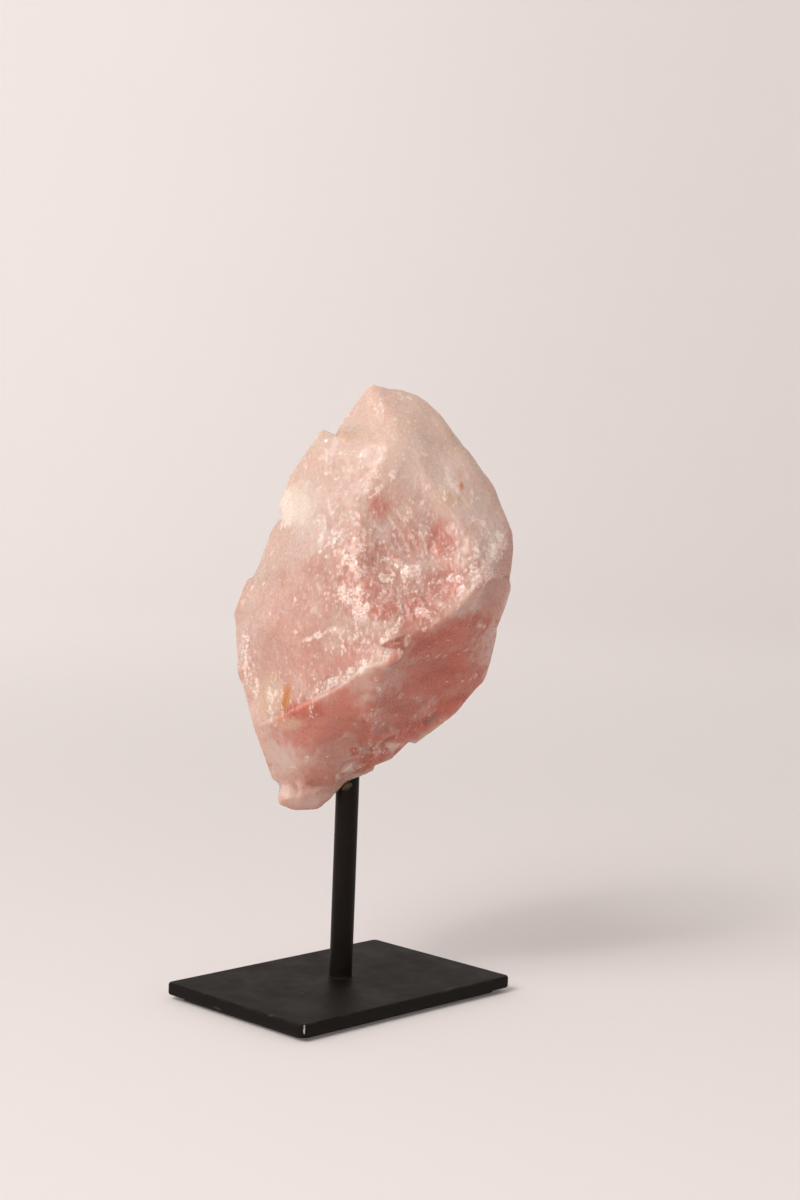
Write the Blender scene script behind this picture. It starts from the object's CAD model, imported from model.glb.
import math
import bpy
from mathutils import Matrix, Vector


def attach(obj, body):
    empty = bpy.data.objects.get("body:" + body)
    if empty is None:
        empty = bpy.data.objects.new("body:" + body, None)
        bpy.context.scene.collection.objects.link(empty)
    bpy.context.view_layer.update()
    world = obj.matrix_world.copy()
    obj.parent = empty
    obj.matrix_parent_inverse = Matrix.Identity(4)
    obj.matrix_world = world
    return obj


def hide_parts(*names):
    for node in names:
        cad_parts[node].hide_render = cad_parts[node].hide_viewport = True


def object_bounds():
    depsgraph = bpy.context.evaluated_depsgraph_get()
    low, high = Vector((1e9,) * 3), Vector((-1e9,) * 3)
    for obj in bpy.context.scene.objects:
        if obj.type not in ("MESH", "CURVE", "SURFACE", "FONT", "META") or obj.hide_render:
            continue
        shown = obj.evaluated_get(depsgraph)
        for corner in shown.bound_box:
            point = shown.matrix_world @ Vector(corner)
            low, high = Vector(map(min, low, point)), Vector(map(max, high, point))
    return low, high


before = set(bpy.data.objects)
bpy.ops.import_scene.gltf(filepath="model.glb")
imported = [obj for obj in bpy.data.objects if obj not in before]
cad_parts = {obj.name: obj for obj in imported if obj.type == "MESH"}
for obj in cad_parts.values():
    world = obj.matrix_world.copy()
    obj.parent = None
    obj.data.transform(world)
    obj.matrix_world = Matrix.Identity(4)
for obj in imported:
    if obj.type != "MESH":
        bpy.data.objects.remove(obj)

from types import SimpleNamespace

import bmesh
import bpy
import numpy as np
from mathutils import Matrix, Vector, noise

CAD_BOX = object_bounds()
MM = 0.001

# Sizes of the part, as its solids have them
ROD_PLACE = Vector((2 * MM, 2.7 * MM, 0))
ROD_RADIUS = 4.75 * MM
HOLE_RADIUS = 5.05 * MM
PLATE_TOP_Z = 7 * MM
PLATE_HALF_LENGTH = 60 * MM
PLATE_HALF_WIDTH = 40 * MM

# The side that the chunk is shown from, and the chunk's layout: (across, towards, up) in
# millimetres from the foot of the rod
SHOW_AZIMUTH = math.radians(-46.2)
RIGHT = Vector((math.cos(SHOW_AZIMUTH), math.sin(SHOW_AZIMUTH), 0))
VIEWER = Vector((math.sin(SHOW_AZIMUTH), -math.cos(SHOW_AZIMUTH), 0))

# Camera, fitted to the plate and the rod in the photograph
CAMERA_PLACE = Vector((-595.43, -595.61, 228.69)) * MM
CAMERA_RIGHT = Vector((0.69362, -0.71929, 0.03883))
CAMERA_UP = Vector((0.02832, 0.0811, 0.9963))
CAMERA_LENS = 62.48
SENSOR = 36

# Chunk
STONE_VOXEL = 0.78 * MM
SMOOTH_REPEATS = 3
EVEN_REPEATS = 30
EVEN_FACTOR = 0.8
LEDGE_COUNT = 1500
LEDGE_SEED = 11
LEDGE_LENGTHS = (1.5, 6.5)
LEDGE_RUNS = (0.8, 3.0)
LEDGE_HEIGHTS = (0.06, 0.26)
LEDGE_WANDER = 0.35
LEDGE_SKEW = 0.15
LEDGE_DROP = 0.6 * MM
CHIP_SEARCH = 4 * MM
CHIP_LEVEL = 0.8
CHIP_DEPTH = 0.5 * MM
OUTLINE_REACH = 4
LEAN_SEED = 5
HOLE_TOP_Z = 121 * MM
HOLE_FADE = (HOLE_RADIUS + 0.5 * MM, HOLE_RADIUS + 2.5 * MM)
BOX_MARGIN = 0.05 * MM

# Patterns of the chunk, each (spacing in millimetres, stretch, shift)
ROUND = (1, 1, 1)
UPRIGHT = (1, 1, 0.65)
CALM_PATTERN = (40, ROUND, 0.0)
LIVELY_WOBBLE = (6, ROUND, 71.0)
LIVELY_BEHIND = (30, ROUND, 75.0)
BREAK_WOBBLE = (3, ROUND, 77.0)
BIG_FACETS = (11, (1, 1, 0.7), 17.3)
MIDDLE_FACETS = (5.5, UPRIGHT, 0)
SMALL_FACETS = (2.6, UPRIGHT, 11.7)
BREAK_FACETS = (3.6, (1, 1, 0.8), 29.1)
SWELL = (5, ROUND, 0.0)
GRIT = (1.7, UPRIGHT, 5.2)
ZONE_WOBBLE = (4, ROUND, 3.1)
ZONE_FRAY = (1.6, (1, 1, 0.6), 8.8)
DRIFT = (7, (1, 1, 0.5), 90.0)
FACET_CRISPNESS = 9
FACET_LEAN_SPREAD = 7.3

# Zones behind, each (pattern, where it starts, where it is full, strength)
BACK_FROST = ((19, (1, 1, 0.6), 21.0), 0.1, 0.42, 0.8)
BACK_DEEP = ((48, (1, 1, 0.8), 33.0), -0.25, 0.5, 0.75)
BACK_PALE = ((40, (1, 1, 0.6), 47.0), -0.1, 0.5, 0.6)
BACK_STAIN = ((12, (1, 1, 0.4), 63.0), 0.5, 0.68, 0.35)

# Heights of the relief in millimetres, as pairs: everywhere, and more where the chunk is broken
BIG_HEIGHTS = (0.1, 0.4)
MIDDLE_HEIGHTS = (0.04, 0.45)
SMALL_HEIGHTS = (0.03, 0.8)
# Shares of the small relief, as pairs: everywhere, and more in the sugary patches
SMALL_SHARES = (0.26, 0.12)
GRIT_HEIGHTS = (0.08, 0.12)
SWELL_HEIGHT = 0.06
BREAK_HEIGHT = 0.9
LEAST_CHANCE = 0.03

# How far a face leans one way, from where a mask starts to where it is full
FRONT_LEAN = (-0.15, 0.2)
BACK_LEAN = (-0.1, 0.25)
DOWN_LEAN = (0.02, 0.3)
RIGHT_LEAN = (0.74, 0.9)
EVEN_LEAN = (0.1, 0.4)
FORM_LEAN = (0.0, 0.3)
RIM_LEAN = 0.3
CALM_FACET = (-3, 238, 6, 8, 0)
UPPER_PART = (185, 205)

# How the zones and forms fade, from where they are full to where they end, as shares of their half sizes
ZONE_FADE = (0.45, 1.35)
KNOB_FADE = (0.2, 1.1)
CREASE_FADE = (0.7, 1.2)
FACET_FADE = (0.8, 1.2)


# Small helpers

def shown(across, towards, up):
    return ROD_PLACE + (RIGHT * across + VIEWER * towards + Vector((0, 0, up))) * MM


def new_object(name, mesh):
    obj = bpy.data.objects.new(name, mesh)
    bpy.context.scene.collection.objects.link(obj)
    return obj


def object_from_bmesh(name, bm):
    bmesh.ops.recalc_face_normals(bm, faces=bm.faces)
    mesh = bpy.data.meshes.new(name)
    bm.to_mesh(mesh)
    bm.free()
    for face in mesh.polygons:
        face.use_smooth = True
    return new_object(name, mesh)


def apply_modifiers(obj):
    bpy.context.view_layer.update()
    graph = bpy.context.evaluated_depsgraph_get()
    made = bpy.data.meshes.new_from_object(obj.evaluated_get(graph))
    obj.modifiers.clear()
    obj.data = made


def step(low, high, value):
    share = np.clip((value - low) / (high - low), 0, 1)
    return share * share * (3 - 2 * share)


def coordinates(mesh):
    values = np.empty(len(mesh.vertices) * 3)
    mesh.vertices.foreach_get("co", values)
    return values.reshape(-1, 3)


def normals(mesh):
    values = np.empty(len(mesh.vertices) * 3)
    mesh.vertices.foreach_get("normal", values)
    return values.reshape(-1, 3)


def set_coordinates(mesh, places):
    mesh.vertices.foreach_set("co", places.ravel())
    mesh.update()


def noise_at(places, spacing, stretch, shift):
    """Noise from -1 to 1, with its spacing in millimetres."""
    scaled = places / (spacing * MM) * np.array(stretch) + shift
    return np.array([noise.noise(Vector(p)) for p in scaled])


def facets_at(places, spacing, stretch, shift):
    """Each cell leans its own way, as small broken faces do."""
    scaled = places / (spacing * MM) * np.array(stretch) + shift
    heights = np.empty(len(scaled))
    for i, p in enumerate(scaled):
        place = Vector(p)
        distances, points = noise.voronoi(place)
        lean = noise.noise_vector(points[0] * FACET_LEAN_SPREAD).normalized()
        rim = min(1.0, (distances[1] - distances[0]) * FACET_CRISPNESS)
        heights[i] = rim * lean.dot(place - points[0])
    return heights


# Node building

# A spot fades between these distances from its middle, as shares of the spots' spacing
SPOT_RADII = (0.55, 0.25)
SPOT_CHANCE_FADE = 0.12


class Nodes:
    """A short way to write a material's node tree."""

    def __init__(self, name):
        self.material = bpy.data.materials.new(name)
        self.material.use_nodes = True
        self.tree = self.material.node_tree
        self.shader = self.tree.nodes["Principled BSDF"]
        self.place = self.add("ShaderNodeTexCoord").outputs["Object"]

    def add(self, kind, **settings):
        node = self.tree.nodes.new(kind)
        for key, value in settings.items():
            setattr(node, key, value)
        return node

    def plug(self, socket, value):
        if hasattr(value, "is_output"):
            self.tree.links.new(value, socket)
        elif isinstance(value, tuple) and len(value) == 3 and socket.type == "RGBA":
            socket.default_value = (*value, 1)
        else:
            socket.default_value = value

    def math(self, operation, a, b=0.0, c=0.0):
        node = self.add("ShaderNodeMath", operation=operation)
        for socket, value in zip(node.inputs, (a, b, c)):
            self.plug(socket, value)
        return node.outputs[0]

    def ramp(self, value, low, high, to_low=0.0, to_high=1.0):
        node = self.add("ShaderNodeMapRange", interpolation_type="SMOOTHSTEP")
        self.plug(node.inputs["Value"], value)
        self.plug(node.inputs["From Min"], low)
        self.plug(node.inputs["From Max"], high)
        self.plug(node.inputs["To Min"], to_low)
        self.plug(node.inputs["To Max"], to_high)
        return node.outputs[0]

    def mix(self, factor, a, b):
        node = self.add("ShaderNodeMix", data_type="RGBA")
        self.plug(node.inputs[0], factor)
        self.plug(node.inputs[6], a)
        self.plug(node.inputs[7], b)
        return node.outputs[2]

    def stretched(self, scale, turn=(0, 0, 0), vector=None):
        node = self.add("ShaderNodeMapping")
        self.plug(node.inputs["Vector"], vector or self.place)
        node.inputs["Rotation"].default_value = turn
        node.inputs["Scale"].default_value = scale
        return node.outputs[0]

    def noise(self, scale, detail=4.0, rough=0.5, vector=None):
        node = self.add("ShaderNodeTexNoise")
        self.plug(node.inputs["Vector"], vector or self.place)
        node.inputs["Scale"].default_value = scale
        node.inputs["Detail"].default_value = detail
        node.inputs["Roughness"].default_value = rough
        return node.outputs["Fac"]

    def shaken(self, scale, reach):
        """Places moved a little this way and that."""
        shake = self.add("ShaderNodeTexNoise")
        self.plug(shake.inputs["Vector"], self.place)
        shake.inputs["Scale"].default_value = scale
        centred = self.add("ShaderNodeVectorMath", operation="SUBTRACT")
        self.plug(centred.inputs[0], shake.outputs["Color"])
        centred.inputs[1].default_value = (0.5, 0.5, 0.5)
        moved = self.add("ShaderNodeVectorMath", operation="MULTIPLY_ADD")
        self.plug(moved.inputs[0], centred.outputs[0])
        moved.inputs[1].default_value = (reach, reach, reach)
        self.plug(moved.inputs[2], self.place)
        return moved.outputs[0]

    def spots(self, scale, keep, vector):
        """Small separate spots, of which a share is left out."""
        node = self.add("ShaderNodeTexVoronoi")
        self.plug(node.inputs["Vector"], vector)
        node.inputs["Scale"].default_value = scale
        parts = self.add("ShaderNodeSeparateColor")
        self.plug(parts.inputs[0], node.outputs["Color"])
        kept = self.ramp(parts.outputs[0], keep, keep + SPOT_CHANCE_FADE)
        return self.math("MULTIPLY", self.ramp(node.outputs["Distance"], *SPOT_RADII), kept)

    def leaning_cells(self, scale, vector):
        """Heights in metres of small faces that each lean their own way."""
        node = self.add("ShaderNodeTexVoronoi")
        self.plug(node.inputs["Vector"], vector)
        node.inputs["Scale"].default_value = scale
        lean = self.add("ShaderNodeVectorMath", operation="SUBTRACT")
        self.plug(lean.inputs[0], node.outputs["Color"])
        lean.inputs[1].default_value = (0.5, 0.5, 0.5)
        away = self.add("ShaderNodeVectorMath", operation="SUBTRACT")
        self.plug(away.inputs[0], vector)
        self.plug(away.inputs[1], node.outputs["Position"])
        rise = self.add("ShaderNodeVectorMath", operation="DOT_PRODUCT")
        self.plug(rise.inputs[0], lean.outputs[0])
        self.plug(rise.inputs[1], away.outputs[0])
        return rise.outputs["Value"]

    def bump(self, height, distance, strength, after=None):
        node = self.add("ShaderNodeBump")
        node.inputs["Strength"].default_value = strength
        node.inputs["Distance"].default_value = distance
        self.plug(node.inputs["Height"], height)
        if after:
            self.plug(node.inputs["Normal"], after)
        return node.outputs[0]

    def attribute(self, name):
        node = self.add("ShaderNodeAttribute", attribute_name=name)
        parts = self.add("ShaderNodeSeparateColor")
        self.plug(parts.inputs[0], node.outputs["Color"])
        return parts.outputs[0], parts.outputs[1], parts.outputs[2]

    def position(self):
        node = self.add("ShaderNodeSeparateXYZ")
        self.plug(node.inputs[0], self.place)
        return node.outputs

    def set(self, **values):
        for key, value in values.items():
            self.plug(self.shader.inputs[key.replace("_", " ")], value)


def dress(obj, material):
    """Gives the material to every slot that the object has, or to a new one."""
    if not obj.material_slots:
        obj.data.materials.append(material)
    for slot in obj.material_slots:
        slot.material = material


# Rose quartz

# Forms of the shown side. A ledge is (points, height, soft run, raised side), the points as (across, up):
# the stone stands proud by the height at the line, falls off softly on the raised side and sharply on
# the other. Side 0 is a ridge that falls off on both. Heights and runs are in millimetres.
LEDGES = [
    ([(18, 221), (15, 215), (10.5, 210), (7.5, 206), (4.4, 201), (3, 196)], 0.35, 9, -1),
    ([(26.6, 202), (30.7, 198), (35, 194.5), (39, 190), (40.7, 186), (41, 181)], 0.65, 8, 1),
    ([(58.7, 193), (56.2, 188.5), (53.5, 182.6), (50.5, 176), (45.9, 170), (40.6, 164),
      (35, 158)], 1.5, 2.2, 0),
    ([(14.8, 142.6), (6.3, 140), (0, 134.2), (-5.7, 129.7), (-12.3, 126), (-19.4, 122), (-26, 117.2),
      (-35, 112.6)], 1.3, 9, 1),
    ([(-21, 147.6), (-18.4, 148.4), (-12.5, 150.4), (-5.5, 154.8)], 0.6, 4, -1),
    ([(5, 159.6), (0, 160.7), (-3, 165), (-5.4, 173), (-1, 184), (6.6, 187), (13, 184.3)], 0.4, 6, 1),
    ([(-9.3, 230.8), (-3.6, 232), (2.3, 231.3)], 0.35, 6, -1),
    ([(1.5, 247), (3, 241), (3.5, 236), (4.5, 231)], 0.4, 4, 1),
    ([(14.9, 140), (12.3, 132.6), (10.6, 126), (9, 114.6), (7.9, 106)], 0.7, 5, 0),
    ([(12, 199), (17, 193), (21, 186)], 0.5, 2.5, 1),
    ([(16, 200), (21, 193), (25, 185)], 0.6, 2.5, 1),
    ([(20, 201), (25, 194), (29, 184)], 0.5, 3, 1),
    ([(11.4, 149), (14, 150.6), (17.5, 152.4), (21, 152.6)], 0.8, 4, 1),
    ([(-14, 222), (-13, 208), (-10, 196)], 0.2, 5, -1),
    ([(-22, 205), (-21, 190), (-18, 178)], 0.3, 6, 1),
    ([(-30, 176), (-29, 163), (-31, 150)], 0.5, 5, -1),
    ([(22, 226), (26, 214), (27, 205)], 0.2, 4, 1),
    ([(33, 222), (37, 212), (45, 203)], 0.5, 5, 1),
    ([(24, 169), (28, 164), (27, 157)], 0.6, 3, -1),
    ([(38, 200), (44, 190), (46, 181)], 0.4, 4, 1),
    ([(-2, 156), (-3, 148), (1, 142)], 0.5, 3, -1),
]
# A dent or knob is (across, up, half width, half height, turn in degrees, height)
KNOBS = [
    (20, 172, 15, 17, 0, 2.4), (38, 186, 12, 10, 0, 1.2), (14.5, 145, 5, 2.4, 3, 0.7),
    (18.4, 145.4, 1.4, 2.4, 0, 0.5), (34, 189, 8, 8, 0, -0.3), (3, 173, 9, 12, 0, 0.5),
    (36, 172, 8, 6, 30, -0.5), (10, 166, 5, 4, 0, -0.7), (21, 176, 4.5, 4.5, 0, 0.8),
    (27, 160.5, 3.5, 2, 0, 0.9), (1, 152, 3, 6, 10, -0.6), (34, 140, 14, 9, 25, -1.0),
    (13, 113, 7, 5, 30, -0.8), (-10, 111, 10, 8, 0, 0.5),
]
# Creases of the plain solid that are evened out further: (across, up, half width, half height, turn)
CREASES = [(18, 149.8, 11, 5.2, 8), (9, 207, 15, 8, 55)]
CREASE_REPEATS = 220
HOLLOW_REPEATS = 6
HOLLOW_GAIN = 1.6
# A wedge cut in under the upper lip, and light chips low down: (height, corners that run anticlockwise)
WEDGE = (-0.8, [(10.9, 148.4), (21.5, 146.6), (20.5, 152.3)])
LIGHT_CHIPS = [
    (0.7, [(14.3, 107.3), (17.1, 101.4), (21.2, 106.4)]),
    (0.6, [(-2.7, 94), (2.2, 94.7), (1.3, 98.6)]),
]
# A straight piece of the outline is (start, end, fade before it, fade after it), with the stone on its
# left, and the places as (across, up)
OUTLINE_CUTS = [
    ((-44, 170.8), (-48.1, 157.9), 5, 5), ((-43.3, 125.1), (-39.3, 112.8), 5, 2),
    ((-38.8, 111.2), (-31, 90.7), 2, 5),
    ((-15.8, 231.7), (-28.2, 212.5), 0.8, 6), ((-9.4, 229.3), (-15.8, 231.7), 0.8, 0.8),
    ((62.7, 173.7), (63.7, 190.3), 3, 3), ((58.9, 154.5), (63.2, 167.8), 5, 3),
    ((11.4, 96.5), (17.4, 98.7), 2, 1), ((17.4, 98.7), (24, 106), 1, 1.5),
]
# A low chip is (across, towards, up, lean across, lean towards, lean up, reach)
LOW_CHIPS = [
    (16, 10, 105, 0.1, 0.9, 0.1, 5), (0.2, 12, 96, -0.1, 0.9, -0.1, 4), (-24, 12.6, 85.3, 0.1, 1, 0.2, 5),
    (24, 6, 113, 0.5, 0.8, -0.5, 4), (31, 1, 119, 0.6, 0.6, -0.6, 5), (8, 12, 100.5, 0.2, 0.8, -0.5, 3.5),
    (39, -3, 126, 0.7, 0.4, -0.8, 5), (-12, 17, 88, 0.1, 0.8, -0.7, 5), (47, -4, 134, 0.8, 0.4, -0.7, 5),
    (-30.5, 11, 92, -0.9, 0.6, -0.2, 5), (58, 3, 154, 1, 0.3, -0.2, 5), (60, 4, 171, 1, 0.4, 0.2, 6),
]

WEDGE_DEEP = 0.75

# Zones of the shown side, each (across, up, half width, half height, turn in degrees, strength)
FROST_ZONES = [
    (-0.3, 184.5, 5.5, 4.2, 0, 0.85), (0, 178.5, 6.5, 3.6, -25, 0.95), (9, 179.3, 4.6, 4.6, 0, 0.6),
    (13, 174, 4.6, 2.6, -15, 0.85), (21, 177, 4.6, 3.8, 35, 1.0), (-0.4, 168, 6, 4.6, 0, 1.0),
    (2.3, 161, 4.4, 4.8, 0, 1.0), (21.6, 168.3, 6, 2.8, 40, 0.6), (28.7, 160.8, 2.2, 2.2, 0, 0.95),
    (11, 167, 3, 2, 0, 0.5), (15.3, 153.4, 4.8, 2.1, 48, 0.95), (22.2, 152, 2.4, 1, -50, 0.95),
    (18.7, 145.4, 0.9, 2.2, 0, 1.0), (56.2, 187, 7.8, 3.6, 68, 1.0), (51.3, 177, 5.5, 3.8, 60, 1.0),
    (46, 172.3, 4.4, 2.4, 30, 0.95), (48, 186, 7, 9, 0, 0.45), (-4, 133.8, 21, 2.2, 34, 0.85),
    (-29.5, 199, 3.6, 8, 0, 0.8), (-44, 143, 2.2, 9, 0, 0.8), (-40, 130, 3, 7, 15, 0.7),
    (-12, 151.5, 9, 1.6, 22, 0.8), (12, 213, 10, 1.4, 52, 0.7), (5, 243, 3, 3, 0, 0.2),
    (9, 240, 1.5, 3, 20, 0.35), (15, 247, 7, 1.5, -20, 0.7), (27, 161, 3, 2, 0, 0.9),
    (39, 175.5, 2.6, 2, 0, 0.9), (-9, 205, 1.5, 6, 0, 0.5), (-8, 190, 3, 4, 0, 0.7),
    (2, 152, 2, 7, 0, 0.5), (-29, 122, 5, 8, 0, 0.7), (7, 217, 3, 6, 10, 0.5), (48, 197, 4, 2, 0, 0.5),
    (36, 209, 2, 4, 0, 0.4), (-3, 222, 3, 2, 0, 0.4),
]
DEEP_ZONES = [
    (38, 151, 22, 8, 25, 1.0), (34, 136, 23, 13, 35, 0.95), (55, 160, 7, 18, 0, 0.3),
    (20, 122, 12, 13, 35, 0.85), (10, 110, 10, 9, 0, 0.75), (-8, 117, 24, 12, 25, 0.75),
    (-19, 119.5, 11, 6.5, 25, 0.95), (22, 142, 8, 6, 0, 0.6), (10.3, 185, 4, 3, 0, 0.5),
    (14.7, 182.5, 3, 4, 0, 0.5), (7.7, 170.6, 4, 4, 0, 0.6), (12, 161.4, 7, 4, 0, 0.7),
    (5, 173, 13, 14, 0, 0.5), (60, 180, 5, 16, 0, 0.3), (14, 137, 7, 4, 0, 0.45), (7, 99, 5, 4, 0, 0.85),
    (13, 100.3, 12, 4, 32, 1.0), (26, 112, 13, 4.5, 32, 1.0), (41, 122, 13, 5, 40, 1.0),
    (50, 132, 8, 5, 50, 0.9), (11.8, 109.3, 3, 2, 0, 1.0), (2.5, 104, 2.5, 3, 0, 1.0),
    (26, 163, 9, 8, 0, 0.55), (-5, 139, 21, 5, 34, 0.4), (34, 189, 6.5, 8, 10, 0.7),
    (35, 173, 9, 7, 20, 0.6), (28, 152, 9, 4, 0, 0.7), (9, 202, 4.5, 5, 45, 0.55),
    (22, 159, 7, 5, 0, 0.5), (20, 190, 6, 8, 30, 0.35), (-10, 168, 3, 11, 0, 0.35),
    (-3, 106, 11, 10, 0, 0.5), (-10, 92, 12, 7, 10, 0.55), (44, 124, 18, 6, 38, 0.7),
    (-14, 117, 11, 6, 30, 0.45), (2, 146, 6, 5, 0, 0.35), (-14, 143, 9, 8, 0, 0.4),
    (-26, 150, 14, 22, 0, 0.25), (46, 131, 12, 8, 35, 0.75), (-16, 172, 8, 10, 0, 0.2),
]
PALE_ZONES = [
    (-27, 102, 7, 9, 0, 0.55), (-20, 196, 10, 16, 0, 0.5), (-38, 160, 7, 14, 0, 0.3),
    (36, 213, 13, 10, -40, 0.45), (22, 221, 11, 12, 0, 0.35), (52, 190, 7, 9, 0, 0.4),
    (54.5, 184, 3.6, 10, -20, 0.65), (-3, 238, 7, 8, 0, 0.2), (-24, 85, 4.5, 3, 0, 0.7),
    (-14, 225, 6, 6, 0, 0.4), (45, 203, 9, 9, 0, 0.4),
]
CREAM_ZONES = [(-25.8, 200.3, 8, 9.5, 0, 1.0)]
PEACH_ZONES = [
    (-32, 124, 5.5, 9, 0, 0.7), (-22.5, 115, 6, 3, 20, 0.8), (-5, 229.3, 6, 2, 0, 0.6),
    (36, 205.6, 6, 3, 0, 0.5),
]
LIVELY_ZONES = [
    (14, 176, 30, 26, 0, 1.0), (-4, 134, 26, 5, 34, 1.0), (48, 180, 16, 6, 57, 1.0),
    (6, 150, 20, 9, 10, 0.8), (36, 206, 12, 10, 0, 0.35), (10, 102, 13, 6, 28, 1.0),
    (30, 117, 14, 4, 38, 0.7), (12, 240, 10, 8, 0, 0.3), (-42, 136, 5, 14, 0, 0.5),
    (-28, 121, 7, 7, 0, 0.6),
]
LOW_BREAKS = [(8, 103, 9, 5, 30, 0.8), (28, 116, 12, 3.5, 38, 0.5), (-20, 87, 8, 4, 0, 0.3)]
STAIN_ZONES = [
    (-25.2, 125, 1.9, 5.4, -6, 1.0), (-26.7, 117.3, 0.6, 4, -6, 0.5), (41.1, 211.4, 0.9, 2, 0, 0.9),
    (40.6, 216, 1.6, 3, 0, 0.25), (4.6, 240.9, 0.9, 0.7, 0, 0.4),
]


def zone_mask(zones, across, up, wobble):
    mask = np.zeros(len(across))
    for middle, height, half_width, half_height, turn, strength in zones:
        reach = zone_reach(across, up, middle, height, half_width, half_height, turn) + wobble
        mask = np.maximum(mask, strength * (1 - step(*ZONE_FADE, reach)))
    return mask


def zone_reach(across, up, middle, height, half_width, half_height, turn):
    """0 in the middle of an ellipse and 1 on its rim."""
    angle = math.radians(turn)
    along = (across - middle) * math.cos(angle) + (up - height) * math.sin(angle)
    over = -(across - middle) * math.sin(angle) + (up - height) * math.cos(angle)
    return np.sqrt((along / half_width) ** 2 + (over / half_height) ** 2)


def triangle_mask(across, up, corners, soft=0.45):
    """1 inside a triangle and 0 outside."""
    inside = np.full(len(across), 1e9)
    for (ax, ay), (bx, by) in zip(corners, corners[1:] + corners[:1]):
        depth = ((bx - ax) * (up - ay) - (by - ay) * (across - ax)) / math.dist((ax, ay), (bx, by))
        inside = np.minimum(inside, depth)
    return step(-soft, soft, inside)


def layout(places):
    """Across, towards and up, in millimetres."""
    local = places - np.array(ROD_PLACE)
    across = local @ np.array(RIGHT) / MM
    towards = local @ np.array(VIEWER) / MM
    return across, towards, local[:, 2] / MM


LEDGE_EDGE = 1.1
LEDGE_TAPER = 0.12


def ledge_height(across, up, points, height, soft, side):
    nearest = np.full(len(across), 1e9)
    signed = np.zeros(len(across))
    total = sum(math.dist(a, b) for a, b in zip(points, points[1:]))
    taper = np.zeros(len(across))
    gone = 0
    for (ax, ay), (bx, by) in zip(points, points[1:]):
        length = math.dist((ax, ay), (bx, by))
        dx, dy = (bx - ax) / length, (by - ay) / length
        along = (across - ax) * dx + (up - ay) * dy
        held = np.clip(along, 0, length)
        gap = np.hypot(across - ax - held * dx, up - ay - held * dy)
        over = -(across - ax) * dy + (up - ay) * dx
        closer = gap < nearest
        nearest = np.where(closer, gap, nearest)
        signed = np.where(closer, np.where(over >= 0, gap, -gap), signed)
        share = (gone + along) / total
        start = step(-LEDGE_TAPER, LEDGE_TAPER, share)
        end = 1 - step(1 - LEDGE_TAPER, 1 + LEDGE_TAPER, share)
        taper = np.where(closer, start * end, taper)
        gone += length
    if side == 0:
        return height * np.exp(-nearest / soft) * taper
    raised = signed * side
    shape = np.where(raised >= 0, np.exp(-np.maximum(raised, 0) / soft), 1 - step(0, LEDGE_EDGE, -raised))
    return height * shape * taper


def neighbour_means(mesh):
    """A function that gives each point the mean of its neighbours' values."""
    ends = np.empty(len(mesh.edges) * 2, dtype=np.int64)
    mesh.edges.foreach_get("vertices", ends)
    a, b = ends[0::2], ends[1::2]
    count = len(mesh.vertices)
    degree = np.bincount(a, minlength=count) + np.bincount(b, minlength=count)

    def mean(values):
        sums = [np.bincount(a, values[b, i], count) + np.bincount(b, values[a, i], count) for i in range(3)]
        return np.stack(sums, 1) / degree[:, None]
    return mean


def chisel(places, centre, normal, reach):
    """Cuts what stands above a plane, out to a reach from the centre."""
    near = np.flatnonzero(((places - centre) ** 2).sum(1) < reach ** 2)
    away = places[near] - centre
    height = away @ normal
    side = np.sqrt(np.maximum((away ** 2).sum(1) - height ** 2, 0))
    hold = 1 - step(0.75 * reach, reach, side)
    places[near] -= (np.maximum(height, 0) * hold)[:, None] * normal


def random_ledges(places, facing, rough):
    """Short low steps in the break, most of them nearly upright."""
    draw = np.random.default_rng(LEDGE_SEED)
    chance = rough / rough.sum()
    rise = np.zeros(len(places))
    for vertex in draw.choice(len(places), LEDGE_COUNT, p=chance):
        normal = facing[vertex]
        along = np.array((0, 0, 1.0)) + draw.normal(0, LEDGE_WANDER, 3)
        along -= normal * (along @ normal)
        along /= np.linalg.norm(along)
        across = np.cross(along, normal) * draw.choice((-1, 1))
        length = draw.uniform(*LEDGE_LENGTHS) * MM
        soft = draw.uniform(*LEDGE_RUNS) * MM
        height = draw.uniform(*LEDGE_HEIGHTS)
        near = np.flatnonzero(((places - places[vertex]) ** 2).sum(1) < (length + 2 * soft) ** 2)
        away = places[near] - places[vertex]
        run = np.abs(away @ along)
        over = away @ across + LEDGE_SKEW * run
        shape = np.where(over >= 0, np.exp(-np.maximum(over, 0) / soft), 1 - step(0, LEDGE_DROP, -over))
        rise[near] += height * shape * (1 - step(0.4 * length, length, run))
    return rise


def low_chips(places):
    for across, towards, up, lean_across, lean_towards, lean_up, reach in LOW_CHIPS:
        lean = RIGHT * lean_across + VIEWER * lean_towards + Vector((0, 0, lean_up))
        centre = np.array(shown(across, towards, up))
        near = places[((places - centre) ** 2).sum(1) < CHIP_SEARCH ** 2]
        if len(near):
            normal = np.array(lean.normalized())
            centre += normal * (np.quantile((near - centre) @ normal, CHIP_LEVEL) - CHIP_DEPTH)
            chisel(places, centre, normal, reach * MM)


def outline_cuts(places):
    for start, end, fade_in, fade_out in OUTLINE_CUTS:
        across, _, up = layout(places)
        run = math.dist(start, end)
        run_across, run_up = (end[0] - start[0]) / run, (end[1] - start[1]) / run
        along = (across - start[0]) * run_across + (up - start[1]) * run_up
        over = (across - start[0]) * run_up - (up - start[1]) * run_across
        hold = step(-fade_in, 0, along) * (1 - step(run, run + fade_out, along)) * (over < OUTLINE_REACH)
        outward = np.array(RIGHT * run_up - Vector((0, 0, run_across)))
        places -= (np.maximum(over, 0) * hold * MM)[:, None] * outward


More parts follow.
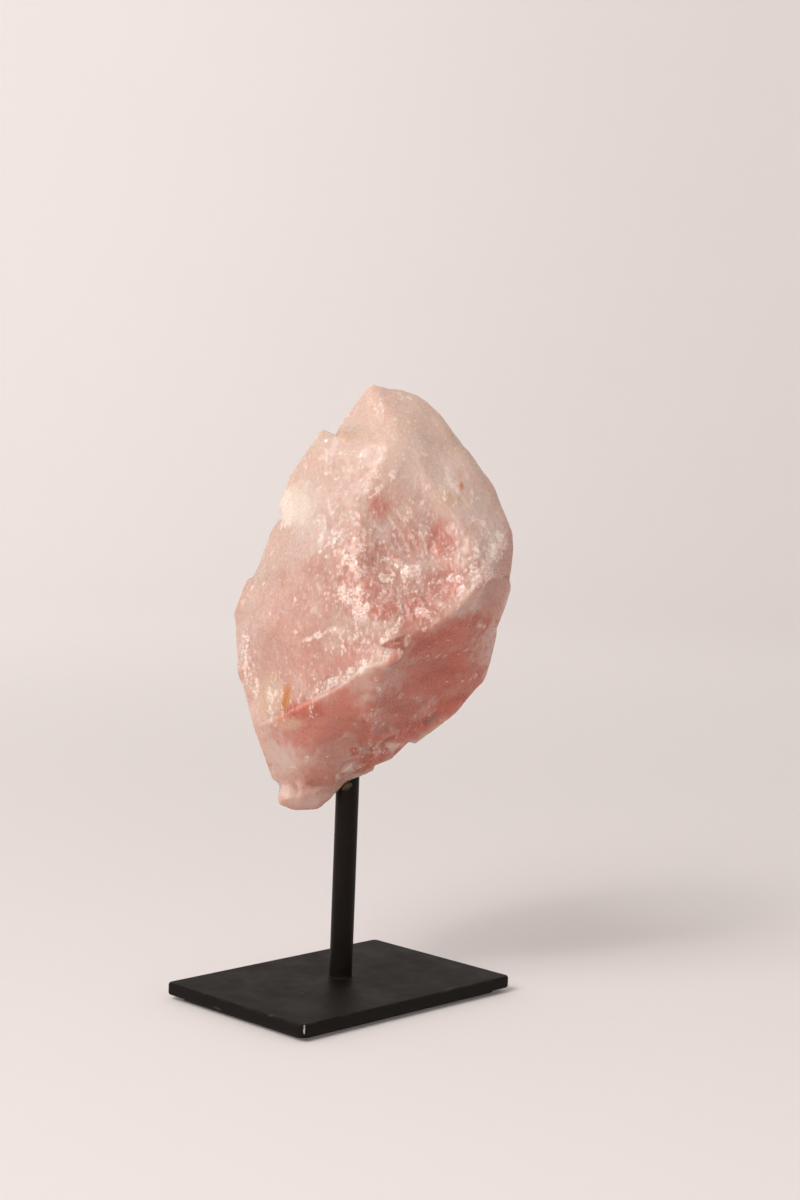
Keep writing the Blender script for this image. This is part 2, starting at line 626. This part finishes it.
def remeshed_stone():
    """A fine, even copy of the plain solid."""
    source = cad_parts["rose_quartz_chunk"]
    stone = new_object("rose_quartz_stone", source.data.copy())
    remesh = stone.modifiers.new("Remesh", "REMESH")
    remesh.mode = "VOXEL"
    remesh.voxel_size = STONE_VOXEL
    smooth = stone.modifiers.new("Smooth", "SMOOTH")
    smooth.factor = 0.5
    smooth.iterations = SMOOTH_REPEATS
    apply_modifiers(stone)
    return stone


def masks_of(places, facing):
    """Shares from 0 to 1 at every point, taken before any relief goes on."""
    masks = SimpleNamespace()
    from_rod = np.hypot(places[:, 0] - ROD_PLACE.x, places[:, 1] - ROD_PLACE.y)
    masks.free = 1 - (1 - step(*HOLE_FADE, from_rod)) * (places[:, 2] < HOLE_TOP_Z)
    masks.toward = facing @ np.array(VIEWER)
    masks.front = step(*FRONT_LEAN, masks.toward)
    masks.down = step(*DOWN_LEAN, -facing[:, 2])
    across, _, up = layout(places)
    masks.low_break = masks.front * zone_mask(LOW_BREAKS, across, up, 0.3 * noise_at(places, *BREAK_WOBBLE))
    masks.rough = rough_of(places, facing, masks)
    return masks


def calm_of(places, facing, masks):
    """The smooth old faces: below, on the right, in patches behind, and one near the top."""
    calm = np.maximum(masks.down, step(*RIGHT_LEAN, facing @ np.array(RIGHT)))
    patches = step(0, 0.3, noise_at(places, *CALM_PATTERN))
    calm = np.maximum(calm, step(*BACK_LEAN, -masks.toward) * 0.8 * patches)
    across, _, up = layout(places)
    facet = 1 - step(*FACET_FADE, zone_reach(across, up, *CALM_FACET))
    return np.maximum(calm, masks.front * facet)


def rough_of(places, facing, masks):
    """How broken the surface is."""
    rim = (0.3 + 0.25 * masks.down) * np.exp(-(masks.toward / RIM_LEAN) ** 2)
    rough = np.maximum(1 - calm_of(places, facing, masks), rim)
    across, _, up = layout(places)
    lively = zone_mask(LIVELY_ZONES, across, up, 0.25 * noise_at(places, *LIVELY_WOBBLE))
    lively_behind = step(-0.1, 0.35, noise_at(places, *LIVELY_BEHIND))
    lively = masks.front * lively + (1 - masks.front) * lively_behind
    return np.maximum(rough * (0.4 + 0.6 * lively), masks.low_break)


def even_out(places, mean, masks):
    """Evens out the dents and creases of the plain solid, before the finer forms go on."""
    share = (step(*EVEN_LEAN, masks.toward) * (1 - masks.down) * masks.free)[:, None]
    for _ in range(EVEN_REPEATS):
        places += (mean(places) - places) * share * EVEN_FACTOR
    across, _, up = layout(places)
    near = np.maximum.reduce([1 - step(*CREASE_FADE, zone_reach(across, up, *crease)) for crease in CREASES])
    share = (near * masks.front)[:, None]
    for _ in range(CREASE_REPEATS):
        places += (mean(places) - places) * share * EVEN_FACTOR


def named_forms(across, up):
    """Heights of the ledges, knobs, chips and wedge of the shown side."""
    rise = np.zeros(len(across))
    for points, height, soft, raised in LEDGES:
        rise += ledge_height(across, up, points, height, soft, raised)
    for middle, level, half_width, half_height, turn, height in KNOBS:
        reach = zone_reach(across, up, middle, level, half_width, half_height, turn)
        rise += height * (1 - step(*KNOB_FADE, reach))
    for height, corners in LIGHT_CHIPS + [WEDGE]:
        rise += height * triangle_mask(across, up, corners)
    return rise


def relief(places, facing, masks):
    """How far each point moves out, in millimetres."""
    across, _, up = layout(places)
    rise = named_forms(across, up) * step(*FORM_LEAN, masks.toward)
    upper = masks.front * step(*UPPER_PART, up)
    chance = np.maximum(masks.rough, LEAST_CHANCE) * masks.free
    rise += random_ledges(places, facing, chance) * (1 - 0.5 * upper)
    sugar = zone_mask(FROST_ZONES, across, up, 0) * masks.front
    strong = masks.rough * (1 - 0.6 * upper)
    big = BIG_HEIGHTS[0] * (1 - masks.down) + BIG_HEIGHTS[1] * strong
    rise += big * facets_at(places, *BIG_FACETS)
    rise += grown(MIDDLE_HEIGHTS, strong) * facets_at(places, *MIDDLE_FACETS)
    rise += grown(SMALL_HEIGHTS, strong) * grown(SMALL_SHARES, sugar) * facets_at(places, *SMALL_FACETS)
    grit = masks.rough * grown(GRIT_HEIGHTS, sugar) * noise_at(places, *GRIT)
    rise += SWELL_HEIGHT * noise_at(places, *SWELL) + grit
    rise += BREAK_HEIGHT * masks.low_break * facets_at(places, *BREAK_FACETS)
    return rise * masks.free


def grown(pair, share):
    return pair[0] + pair[1] * share


def paint_zones(mesh, across, up, places, masks, mean):
    """Stores where the colours and textures go, as point colours that the material reads."""
    wobble = 0.35 * noise_at(places, *ZONE_WOBBLE) + 0.3 * noise_at(places, *ZONE_FRAY)
    drift = 0.12 * noise_at(places, *DRIFT)

    def shown_part(zones):
        return masks.front * zone_mask(zones, across, up, wobble)

    def whole(zones, pattern, low, high, strength, share=1.0):
        behind = step(low, high, noise_at(places, *pattern) + drift) * strength
        return shown_part(zones) + (1 - masks.front) * behind * share

    frost = whole(FROST_ZONES, *BACK_FROST, masks.rough)
    deep = whole(DEEP_ZONES, *BACK_DEEP)
    deep = np.maximum(deep, WEDGE_DEEP * masks.front * triangle_mask(across, up, WEDGE[1]))
    store_colour(mesh, "zones", frost, deep, whole(STAIN_ZONES, *BACK_STAIN))
    store_colour(mesh, "skin", whole(PALE_ZONES, *BACK_PALE), masks.rough, hollows_of(mesh, mean))
    chips = np.maximum.reduce([triangle_mask(across, up, corners) for _, corners in LIGHT_CHIPS])
    store_colour(mesh, "marks", shown_part(CREAM_ZONES), masks.front * chips, shown_part(PEACH_ZONES))


def store_colour(mesh, name, red, green, blue):
    colours = np.stack([red, green, blue, np.ones(len(red))], 1)
    layer = mesh.color_attributes.new(name, "FLOAT_COLOR", "POINT")
    layer.data.foreach_set("color", colours.ravel())


def make_stone():
    noise.seed_set(LEAN_SEED)
    stone = remeshed_stone()
    mesh = stone.data
    places = coordinates(mesh)
    mean = neighbour_means(mesh)
    masks = masks_of(places, normals(mesh))
    even_out(places, mean, masks)
    set_coordinates(mesh, places)
    facing = normals(mesh)
    across, _, up = layout(places)
    places += facing * (relief(places, facing, masks) * MM)[:, None]
    low_chips(places)
    outline_cuts(places)
    low = np.array(CAD_BOX[0]) + BOX_MARGIN
    high = np.array(CAD_BOX[1]) - BOX_MARGIN
    set_coordinates(mesh, np.clip(places, low, high))
    paint_zones(mesh, across, up, places, masks, mean)
    for face in mesh.polygons:
        face.use_smooth = True
    dress(stone, quartz_material())
    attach(stone, "root")
    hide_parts("rose_quartz_chunk")


def hollows_of(mesh, mean):
    """How far each point lies under the mean of its neighbours, from 0 on crests to 1 in pits."""
    places = coordinates(mesh)
    smoothed = places
    for _ in range(HOLLOW_REPEATS):
        smoothed = mean(smoothed)
    sunk = ((smoothed - places) * normals(mesh)).sum(1) / MM
    return np.clip(0.5 + sunk * HOLLOW_GAIN, 0, 1)


# Colours of the chunk
PINKS = ((0.52, 0.32, 0.262), (0.57, 0.39, 0.328))
DEEP_PINKS = ((0.50, 0.143, 0.096), (0.41, 0.095, 0.062))
VEIL = (0.62, 0.485, 0.425)
HIGH_TONE = (0.635, 0.462, 0.378)
MILKY = (0.61, 0.505, 0.45)
HOLLOW_PINK = (0.50, 0.22, 0.165)
PEACH = (0.56, 0.37, 0.25)
LIGHT_CHIP = (0.60, 0.46, 0.41)
CREAM = (0.70, 0.60, 0.50)
SUGAR = (0.80, 0.655, 0.585)
FLECK = (0.94, 0.87, 0.82)
OCHRE = (0.50, 0.205, 0.07)
SCATTER_RADII = (0.010, 0.0040, 0.0028)
HIGH_START = 0.205
HIGH_END = 0.25


def quartz_body(n, deep, pale, rough, hollow):
    """The soft colour under the surface, from milky to deep pink."""
    body = n.mix(n.ramp(n.noise(55, 3), 0.35, 0.65), *PINKS)
    veil = n.ramp(n.noise(190, 5, 0.6, n.stretched((1, 1, 0.5))), 0.42, 0.7)
    body = n.mix(n.math("MULTIPLY", veil, n.math("MULTIPLY_ADD", rough, 0.25, 0.22)), body, VEIL)
    up = n.math("ADD", n.position()[2], n.math("MULTIPLY", n.noise(40, 2), 0.03))
    body = n.mix(n.ramp(up, HIGH_START, HIGH_END, 0.0, 0.75), body, HIGH_TONE)
    body = n.mix(pale, body, MILKY)
    dark = n.ramp(n.noise(85, 4, 0.6, n.stretched((0.6, 0.6, 1.6), (0.5, 0.3, 0))), 0.42, 0.68)
    body = n.mix(deep, body, n.mix(dark, *DEEP_PINKS))
    return n.mix(n.ramp(hollow, 0.55, 1.0, 0.0, 0.32), body, HOLLOW_PINK)


def quartz_sugar(n, frost, rough, hollow, wander, tall):
    """Where the white fracture patches and the light crests are."""
    patchy = n.math("MULTIPLY_ADD", frost, 0.195, n.noise(250, 6, 0.66, tall))
    threads = n.noise(1150, 3, 0.6, n.stretched((0.55, 0.55, 1), (0.5, 0.7, 0), wander))
    sugar = n.math("MULTIPLY", n.ramp(patchy, 0.605, 0.67), n.ramp(threads, 0.4, 0.54, 0.25, 1.0))
    crest = n.math("MULTIPLY", n.ramp(hollow, 0.1, 0.4, 0.25, 0.0), rough)
    return n.math("MAXIMUM", n.math("MULTIPLY", sugar, 0.85), crest)


def quartz_flecks(n, frost, rough, wander):
    """Small bright glints: dashes in the break, specks everywhere, and dense ones in the sugar."""
    dash = n.spots(950, 0.5, n.stretched((1, 1, 0.45), vector=wander))
    dash = n.math("MULTIPLY", dash, n.math("MULTIPLY", rough, 0.3))
    speck = n.spots(760, 0.84, n.stretched((1, 1, 0.7), vector=wander))
    speck = n.math("MULTIPLY", speck, n.math("MULTIPLY_ADD", rough, 0.6, 0.03))
    dense = n.spots(850, 0.6, n.stretched((1, 1, 0.7), vector=wander))
    dense = n.math("MULTIPLY", n.math("MULTIPLY", dense, frost), 0.55)
    fleck = n.math("MAXIMUM", dash, n.math("MAXIMUM", speck, dense))
    return n.math("MULTIPLY", fleck, 0.85)


def quartz_relief(n, rough, tall):
    """A soft bump for the surface and a crisper one for its gloss."""
    cut = n.math("MULTIPLY_ADD", rough, 0.85, 0.1)
    coarse = n.math("MULTIPLY", n.leaning_cells(480, tall), cut)
    small = n.math("MULTIPLY", n.leaning_cells(1000, tall), cut)
    grain = n.noise(1500, 3, 0.6, n.stretched((1, 1, 0.6)))
    soft = n.bump(small, 0.8, 0.4, n.bump(coarse, 1.0, 0.2))
    soft = n.bump(grain, 0.1 * MM, 0.4, soft)
    crisp = n.bump(small, 1.0, 1.0, n.bump(coarse, 1.0, 0.5))
    return soft, crisp


def quartz_material():
    n = Nodes("rose_quartz")
    frost, deep, stain = n.attribute("zones")
    pale, rough, hollow = n.attribute("skin")
    cream, chip, peach = n.attribute("marks")
    wander = n.shaken(260, 0.0014)
    tall = n.stretched(UPRIGHT, vector=wander)

    body = quartz_body(n, deep, pale, rough, hollow)
    body = n.mix(peach, body, PEACH)
    body = n.mix(n.math("MULTIPLY", chip, 0.75), body, LIGHT_CHIP)
    body = n.mix(n.math("MULTIPLY", cream, 0.85), body, CREAM)
    body = n.mix(quartz_sugar(n, frost, rough, hollow, wander, tall), body, SUGAR)
    body = n.mix(quartz_flecks(n, frost, rough, wander), body, FLECK)
    body = n.mix(stain, body, OCHRE)

    soft, crisp = quartz_relief(n, rough, tall)
    glassy = n.math("MULTIPLY_ADD", n.math("MULTIPLY", rough, n.spots(420, 0.55, tall)), 0.65, 0.05)
    n.set(Base_Color=body, Roughness=n.ramp(n.noise(900, 3, 0.6), 0.3, 0.7, 0.22, 0.42), IOR=1.54,
          Subsurface_Weight=0.85, Subsurface_Scale=1.0, Subsurface_Radius=SCATTER_RADII,
          Specular_IOR_Level=0.38, Normal=soft, Coat_Weight=glassy, Coat_Roughness=0.09, Coat_IOR=1.8,
          Coat_Normal=crisp)
    return n.material


# Stand

PAINTS = ((0.0042, 0.0033, 0.0028), (0.0072, 0.0056, 0.0046))
PAINT_DUST = (0.045, 0.036, 0.028)
RUBBED_EDGE = (0.035, 0.027, 0.019)
WORN_PAINT = (0.075, 0.060, 0.046)
BARE_STEEL = (0.52, 0.49, 0.44)
RUBBERS = ((0.006, 0.006, 0.006), (0.014, 0.013, 0.012))
GLUES = ((0.045, 0.029, 0.015), (0.085, 0.056, 0.03))
# The plate's paint is rubbed between these distances in from its edge, and down from its top
RUB_START = 1.1 * MM
RUB_END = 0.5 * MM
RUB_DEPTHS = (0.8 * MM, 0.2 * MM)
TOUCH = 0.01 * MM
WELD_STEPS = 96
WELD_CURVE = 8
WELD_LEG = 0.6 * MM
WELD_LUMP = 0.9 * MM
WELD_LUMP_HALF = 0.22
WELD_LUMP_SIDE = RIGHT * 0.45 + VIEWER * 0.9
WELD_UNEVEN = 0.25 * MM
WELD_WAVES = 3.1
GLUE_PLACE = shown(-0.1, 5.1, 87.3)
GLUE_HALVES = (2.4 * MM, 1.2 * MM, 1.5 * MM)
GLUE_SLOPE = 40
GLUE_UNEVEN = 0.12
GLUE_WAVES = 1.4

# Marks on the plate: (place, half sizes, strength), in millimetres
BARE_CHIPS = [((-58.4, -39.4, 5.1), (0.5, 0.5, 1.9), 0.9)]
WORN_SPOTS = [
    ((-28.2, -6.1, 7), (1.4, 0.5, 0.6), 0.6), ((-59.3, -22.1, 6.9), (0.7, 1.5, 0.6), 0.5),
    ((-60, 8.7, 3.1), (0.5, 2.4, 0.35), 0.5), ((23.2, -38.5, 7), (2.2, 1.0, 0.6), 0.3),
    ((31, 17, 7), (5, 0.5, 0.5), 0.3), ((-41, 20, 7), (0.5, 4, 0.5), 0.25),
    ((59.6, 24, 6.9), (0.7, 2, 0.7), 0.5), ((12, 39.6, 6.9), (3, 0.7, 0.7), 0.5),
    ((59.3, 39.2, 4.6), (0.7, 0.7, 1.2), 0.6),
]


def marks(n, spots, ragged):
    """1 on small marks with ragged edges, and 0 away from them."""
    total = 0.0
    for place, half, strength in spots:
        scaled = n.add("ShaderNodeVectorMath", operation="MULTIPLY_ADD")
        n.plug(scaled.inputs[0], n.place)
        scaled.inputs[1].default_value = [1 / (size * MM) for size in half]
        scaled.inputs[2].default_value = [-middle / size for middle, size in zip(place, half)]
        reach = n.add("ShaderNodeVectorMath", operation="LENGTH")
        n.plug(reach.inputs[0], scaled.outputs[0])
        mask = n.ramp(n.math("ADD", reach.outputs["Value"], ragged), 1.15, 0.75, 0.0, strength)
        total = n.math("MAXIMUM", mask, total)
    return total


def plate_edge(n):
    """1 along the plate's upper edges and 0 away from them."""
    across, along, up = n.position()
    edges = [n.ramp(n.math("ABSOLUTE", place), half - RUB_START, half - RUB_END)
             for place, half in ((across, PLATE_HALF_LENGTH), (along, PLATE_HALF_WIDTH))]
    top = n.ramp(up, PLATE_TOP_Z - RUB_DEPTHS[0], PLATE_TOP_Z - RUB_DEPTHS[1])
    return n.math("MULTIPLY", n.math("MAXIMUM", *edges), top)


def black_paint(name, roughness, dusty, on_plate=False):
    """Matt black paint, a little mottled and dusty, and on the plate also rubbed and chipped."""
    n = Nodes(name)
    mottle = n.noise(70, 4, 0.6)
    peel = n.noise(1300, 2, 0.5)
    dust = n.ramp(n.noise(420, 5, 0.7), 0.6, 0.78)
    colour = n.mix(n.ramp(mottle, 0.3, 0.7), *PAINTS)
    colour = n.mix(n.math("MULTIPLY", dust, dusty), colour, PAINT_DUST)
    finish = n.ramp(mottle, 0.3, 0.7, roughness - 0.05, roughness + 0.06)
    if on_plate:
        ragged = n.math("MULTIPLY_ADD", n.noise(900, 3, 0.6), 1.4, -0.7)
        rub = n.math("MULTIPLY", plate_edge(n), n.ramp(n.noise(160, 4, 0.65), 0.42, 0.62))
        colour = n.mix(n.math("MULTIPLY", rub, 0.45), colour, RUBBED_EDGE)
        colour = n.mix(marks(n, WORN_SPOTS, ragged), colour, WORN_PAINT)
        colour = n.mix(marks(n, BARE_CHIPS, ragged), colour, BARE_STEEL)
    n.set(Base_Color=colour, Roughness=finish, Normal=n.bump(peel, 0.05 * MM, 0.35),
          Specular_IOR_Level=0.12, Specular_Tint=(1, 0.86, 0.76))
    return n.material


def pad_material():
    n = Nodes("black_pad")
    grain = n.noise(900, 4, 0.6)
    colour = n.mix(grain, *RUBBERS)
    n.set(Base_Color=colour, Roughness=0.9, Normal=n.bump(grain, 0.15 * MM, 0.6))
    return n.material


def glue_material():
    n = Nodes("glue")
    n.set(Base_Color=n.mix(n.noise(500, 3), *GLUES), Roughness=0.25, IOR=1.45, Specular_IOR_Level=0.3,
          Normal=n.bump(n.noise(300, 2), 0.2 * MM, 0.4))
    return n.material


def ride_instead(piece, node):
    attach(piece, "root")
    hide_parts(node)


def make_weld():
    """A low hollow fillet round the rod's foot, uneven, with one lump."""
    lump_angle = math.atan2(*WELD_LUMP_SIDE.yx)
    bm = bmesh.new()
    rings = []
    for i in range(WELD_STEPS):
        angle = math.tau * i / WELD_STEPS
        out = Vector((math.cos(angle), math.sin(angle), 0))
        gap = (angle - lump_angle + math.pi) % math.tau - math.pi
        leg = WELD_LEG + WELD_UNEVEN * noise.noise(out * WELD_WAVES)
        leg += WELD_LUMP * math.exp(-(gap / WELD_LUMP_HALF) ** 2)
        foot = ROD_PLACE + Vector((0, 0, PLATE_TOP_Z + TOUCH)) + out * (ROD_RADIUS + TOUCH)
        ring = [bm.verts.new(foot)]
        for j in range(WELD_CURVE + 1):
            turn = math.pi / 2 * j / WELD_CURVE
            side = out * leg * (1 - math.sin(turn))
            ring.append(bm.verts.new(foot + side + Vector((0, 0, leg * (1 - math.cos(turn))))))
        rings.append(ring)
    for ring, following in zip(rings, rings[1:] + rings[:1]):
        for a, b, c, d in zip(ring, ring[1:] + ring[:1], following[1:] + following[:1], following):
            bm.faces.new((a, b, c, d))
    weld = object_from_bmesh("weld_fillet", bm)
    dress(weld, black_paint("weld_paint", 0.6, 0.1))
    ride_instead(weld, "weld_bead")


def make_glue():
    """A small drop squeezed out between the rod and the stone."""
    bm = bmesh.new()
    bmesh.ops.create_icosphere(bm, subdivisions=4, radius=1)
    slope = math.radians(GLUE_SLOPE)
    long_way = RIGHT * math.cos(slope) + Vector((0, 0, math.sin(slope)))
    short_way = Vector((0, 0, math.cos(slope))) - RIGHT * math.sin(slope)
    for vert in bm.verts:
        across, towards, up = vert.co * (1 + GLUE_UNEVEN * noise.noise(vert.co * GLUE_WAVES))
        vert.co = GLUE_PLACE + (long_way * across * GLUE_HALVES[0] + VIEWER * towards * GLUE_HALVES[1]
                                + short_way * up * GLUE_HALVES[2])
    glue = object_from_bmesh("glue_drop", bm)
    dress(glue, glue_material())
    ride_instead(glue, "glue_bead")


def dress_stand():
    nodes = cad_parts
    dress(nodes["base_plate"], black_paint("plate_paint", 0.55, 0.14, True))
    dress(nodes["support_rod"], black_paint("rod_paint", 0.42, 0.12))
    dress(nodes["base_pad"], pad_material())
    make_weld()
    make_glue()


# Room

FLOOR_RADIUS = 1.9
SWEEP_LENGTH = 1.7
SWEEP_HEIGHT = 1.7
FLOOR_RINGS = 4
SWEEP_STEPS = 16
FLOOR_TURNS = 96
FLOOR_TONES = ((0.795, 0.740, 0.718), (0.805, 0.750, 0.728))
# The floor glows a little: (from, to) in distance from the part, and more on the left than on the right
FLOOR_GLOW_REACH = (0.2, 1.7)
FLOOR_GLOW = (0.06, 0.27)
FLOOR_TILT_REACH = 0.95
FLOOR_TILT = (1.32, 0.6)
KEY_PLACE = (-1.34, 1.68, 1.79)
KEY_SIZE = 1.8
KEY_POWER = 50
CORE_SIZE = 0.34
CORE_POWER = 7
WORLD_LEFT = 0.58
WORLD_RIGHT = 0.36
WORLD_COLOUR = (1.0, 0.975, 0.96, 1)
LIGHT_COLOUR = (1.0, 0.98, 0.96)
LIGHT_TARGET = shown(8, 0, 150)
CORE_NEARNESS = 0.97


def make_floor():
    """A pale round floor that curves up into a low wall all round."""
    bm = bmesh.new()
    outline = [(FLOOR_RADIUS * i / FLOOR_RINGS, 0) for i in range(FLOOR_RINGS + 1)]
    for i in range(1, SWEEP_STEPS + 1):
        turn = math.pi / 2 * i / SWEEP_STEPS
        along = FLOOR_RADIUS + SWEEP_LENGTH * math.sin(turn)
        outline.append((along, SWEEP_HEIGHT * (1 - math.cos(turn))))
    verts = [bm.verts.new((radius, 0, height)) for radius, height in outline]
    edges = [bm.edges.new(pair) for pair in zip(verts, verts[1:])]
    bmesh.ops.spin(bm, geom=verts + edges, cent=(0, 0, 0), axis=(0, 0, 1), angle=math.tau,
                   steps=FLOOR_TURNS, use_merge=True)
    bmesh.ops.remove_doubles(bm, verts=bm.verts, dist=0.0001)
    floor = object_from_bmesh("floor", bm)
    dress(floor, floor_material())


def floor_material():
    n = Nodes("floor_paper")
    colour = n.mix(n.noise(3, 2), *FLOOR_TONES)
    far = n.add("ShaderNodeVectorMath", operation="LENGTH")
    n.plug(far.inputs[0], n.place)
    sideways = n.add("ShaderNodeVectorMath", operation="DOT_PRODUCT")
    n.plug(sideways.inputs[0], n.place)
    sideways.inputs[1].default_value = RIGHT
    tilt = n.ramp(sideways.outputs["Value"], -FLOOR_TILT_REACH, FLOOR_TILT_REACH, *FLOOR_TILT)
    glow = n.math("MULTIPLY", n.ramp(far.outputs["Value"], *FLOOR_GLOW_REACH, *FLOOR_GLOW), tilt)
    n.set(Base_Color=colour, Roughness=0.9, Emission_Color=colour, Emission_Strength=glow,
          Specular_IOR_Level=0.1)
    return n.material


def make_key(name, size, power, nearness):
    data = bpy.data.lights.new(name, "AREA")
    data.shape = "DISK"
    data.size = size
    data.energy = power
    data.color = LIGHT_COLOUR
    light = bpy.data.objects.new(name, data)
    bpy.context.scene.collection.objects.link(light)
    across, towards, up = KEY_PLACE
    away = RIGHT * across + VIEWER * towards + Vector((0, 0, up))
    light.location = LIGHT_TARGET + away * nearness
    light.rotation_mode = "QUATERNION"
    light.rotation_quaternion = (-away).to_track_quat("-Z", "Y")
    light.visible_camera = False


def make_room():
    make_floor()
    make_key("key", KEY_SIZE, KEY_POWER, 1.0)
    make_key("key_core", CORE_SIZE, CORE_POWER, CORE_NEARNESS)
    world = bpy.data.worlds.new("room")
    world.use_nodes = True
    tree = world.node_tree
    background = tree.nodes["Background"]
    background.inputs["Color"].default_value = WORLD_COLOUR
    direction = tree.nodes.new("ShaderNodeTexCoord").outputs["Generated"]
    across = tree.nodes.new("ShaderNodeVectorMath")
    across.operation = "DOT_PRODUCT"
    across.inputs[1].default_value = RIGHT
    tree.links.new(direction, across.inputs[0])
    ramp = tree.nodes.new("ShaderNodeMapRange")
    ramp.inputs["From Min"].default_value = -1
    ramp.inputs["From Max"].default_value = 1
    ramp.inputs["To Min"].default_value = WORLD_LEFT
    ramp.inputs["To Max"].default_value = WORLD_RIGHT
    tree.links.new(across.outputs["Value"], ramp.inputs["Value"])
    tree.links.new(ramp.outputs[0], background.inputs["Strength"])
    bpy.context.scene.world = world
    bpy.context.scene.view_settings.view_transform = "Standard"


def make_camera():
    data = bpy.data.cameras.new("camera")
    data.sensor_width = SENSOR
    data.lens = CAMERA_LENS
    data.clip_start = 0.01
    camera = bpy.data.objects.new("camera", data)
    bpy.context.scene.collection.objects.link(camera)
    right = CAMERA_RIGHT.normalized()
    back = right.cross(CAMERA_UP).normalized()
    up = back.cross(right).normalized()
    turn = Matrix((right, up, back)).transposed()
    camera.matrix_world = Matrix.Translation(CAMERA_PLACE) @ turn.to_4x4()
    bpy.context.scene.camera = camera


make_camera()
make_room()
make_stone()
dress_stand()
